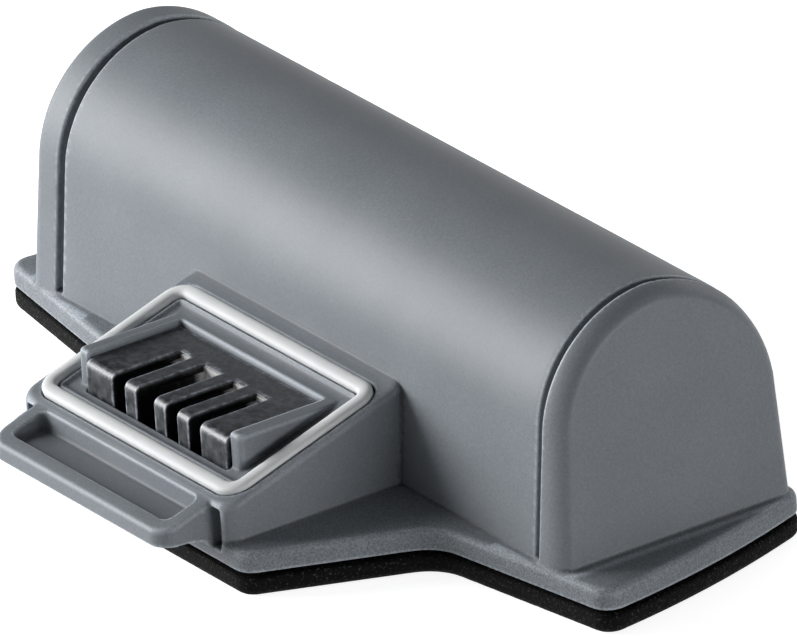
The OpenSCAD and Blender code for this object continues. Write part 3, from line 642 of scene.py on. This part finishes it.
def rounded_loop(half_u, half_v, radius, steps):
    """Points round a rectangle with round corners, with the outward direction at each."""
    points = []
    for index, (su, sv) in enumerate(((1, 1), (-1, 1), (-1, -1), (1, -1))):
        for step in range(steps + 1):
            angle = math.radians(90 * (index + step / steps))
            direction = (math.cos(angle), math.sin(angle))
            centre = (su * (half_u - radius), sv * (half_v - radius))
            points.append((centre[0] + radius * direction[0], centre[1] + radius * direction[1],
                           *direction))
    return np.array(points)


def make_seal():
    """The seal as a bead with a crowned section, swept round its loop on the sloping face."""
    across, upward, outward, origin = face_frame()
    half_v = (SEAL_FRONT - SEAL_REAR) / 2 / math.cos(math.radians(FACE_SLOPE))
    loop = rounded_loop(SEAL_W / 2, half_v, SEAL_CORNER_R, SEAL_CORNER_STEPS)
    half = SEAL_BAND / 2 - SEAL_GAP
    crown = [(SEAL_BAND / 2 - half * math.cos(t), SEAL_PROUD * math.sin(t) ** SEAL_CROWN)
             for t in np.linspace(0, math.pi, SEAL_CROWN_POINTS)]
    section = [(SEAL_GAP, -SEAL_FOOT)] + crown + [(SEAL_BAND - SEAL_GAP, -SEAL_FOOT)]
    points = np.array([origin + across * (u - inset * nu) + upward * (v - inset * nv) + outward * high
                       for inset, high in section for u, v, nu, nv in loop])
    count = len(loop)
    rows = len(section)
    faces = [(r * count + i, r * count + (i + 1) % count,
              (r + 1) % rows * count + (i + 1) % count, (r + 1) % rows * count + i)
             for r in range(rows) for i in range(count)]
    return mesh_object("seal_bead", points, faces)


# Finish of the pieces

def dress_nodes(materials):
    """Gives every CAD node the material of its slot."""
    for node, slot in SLOTS.items():
        mesh = frame["nodes"][node].data
        mesh.materials.clear()
        mesh.materials.append(materials[slot])


def finish_piece(piece, node, materials):
    """Gives a piece its finish and its body, and has it stand for its node."""
    slot = SLOTS[node]
    piece.data.materials.append(materials[slot])
    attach(piece, "pack")
    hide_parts(node)


# Camera, floor and light

def place_camera():
    """The camera at the photograph's place, turn and focal length."""
    azimuth, elevation, roll = (math.radians(a) for a in (VIEW_AZIMUTH, VIEW_ELEVATION, VIEW_ROLL))
    back = Vector((math.sin(azimuth) * math.cos(elevation), -math.cos(azimuth) * math.cos(elevation),
                   math.sin(elevation)))
    right = Vector((math.cos(azimuth), math.sin(azimuth), 0))
    up = back.cross(right)
    x_axis = math.cos(roll) * right + math.sin(roll) * up
    y_axis = -math.sin(roll) * right + math.cos(roll) * up
    place = VIEW_DISTANCE * back - VIEW_OFFSET[0] * x_axis - VIEW_OFFSET[1] * y_axis
    place.z += DECK_Z
    data = bpy.data.cameras.new("camera")
    data.sensor_width = SENSOR_WIDTH
    data.lens = FOCAL_PIXELS * SENSOR_WIDTH / IMAGE_WIDTH
    data.clip_start = 0.1
    data.clip_end = 100
    camera = bpy.data.objects.new("camera", data)
    bpy.context.scene.collection.objects.link(camera)
    turn = Matrix((x_axis, y_axis, back)).transposed().to_4x4()
    camera.matrix_world = Matrix.Translation(place * MM) @ turn
    bpy.context.scene.camera = camera


def make_floor():
    """A pale floor that shows white to the camera and keeps the object's shadow."""
    signs = ((-1, -1), (1, -1), (1, 1), (-1, 1))
    corners = np.array([(a * FLOOR_HALF, b * FLOOR_HALF, 0) for a, b in signs])
    floor = mesh_object("floor", corners, [(0, 1, 2, 3)])
    material, tree, surface, _ = shader("floor")
    surface.inputs["Base Color"].default_value = (FLOOR_GREY, FLOOR_GREY, FLOOR_GREY, 1)
    surface.inputs["Roughness"].default_value = FLOOR_ROUGHNESS
    rays = tree.nodes.new("ShaderNodeLightPath")
    direct = tree.nodes.new("ShaderNodeMath")
    direct.operation = "MAXIMUM"
    tree.links.new(rays.outputs["Is Camera Ray"], direct.inputs[0])
    tree.links.new(rays.outputs["Is Glossy Ray"], direct.inputs[1])
    seen = tree.nodes.new("ShaderNodeEmission")
    seen.inputs["Strength"].default_value = FLOOR_GLOW
    both = tree.nodes.new("ShaderNodeAddShader")
    choice = tree.nodes.new("ShaderNodeMixShader")
    tree.links.new(surface.outputs["BSDF"], both.inputs[0])
    tree.links.new(seen.outputs["Emission"], both.inputs[1])
    tree.links.new(direct.outputs["Value"], choice.inputs["Fac"])
    tree.links.new(surface.outputs["BSDF"], choice.inputs[1])
    tree.links.new(both.outputs["Shader"], choice.inputs[2])
    tree.links.new(choice.outputs["Shader"], tree.nodes["Material Output"].inputs["Surface"])
    floor.data.materials.append(material)


def soft_box(name, place, size, power):
    """A rectangular lamp that is aimed at the object."""
    data = bpy.data.lights.new(name, "AREA")
    data.shape = "RECTANGLE"
    data.size, data.size_y = size
    data.energy = power
    lamp = bpy.data.objects.new(name, data)
    bpy.context.scene.collection.objects.link(lamp)
    lamp.location = place
    lamp.rotation_euler = (Vector(LAMPS_AIM) - Vector(place)).to_track_quat("-Z", "Y").to_euler()


def make_light():
    """A low key from the left, a weak one from the front, and fill from the right and behind."""
    for name, values in LAMPS.items():
        soft_box(name, *values)
    world = bpy.data.worlds.new("world")
    world.use_nodes = True
    background = world.node_tree.nodes["Background"]
    background.inputs["Color"].default_value = (1, 1, 1, 1)
    background.inputs["Strength"].default_value = WORLD_GLOW
    bpy.context.scene.world = world


place_camera()
materials = make_materials()
dress_nodes(materials)
housing = moulded("housing", cell=0.12, adaptivity=0.03, correct=true_arch, carve=body_form)
cover = moulded("bottom_cover", cell=0.14, adaptivity=0.03, carve=cover_form)
insert = moulded("plug_insert", cell=0.06, adaptivity=0.02)
finish_piece(housing, "housing", materials)
finish_piece(cover, "bottom_cover", materials)
finish_piece(insert, "plug_insert", materials)
finish_piece(make_seal(), "seal", materials)
make_floor()
make_light()
bpy.context.scene.view_settings.view_transform = "Standard"
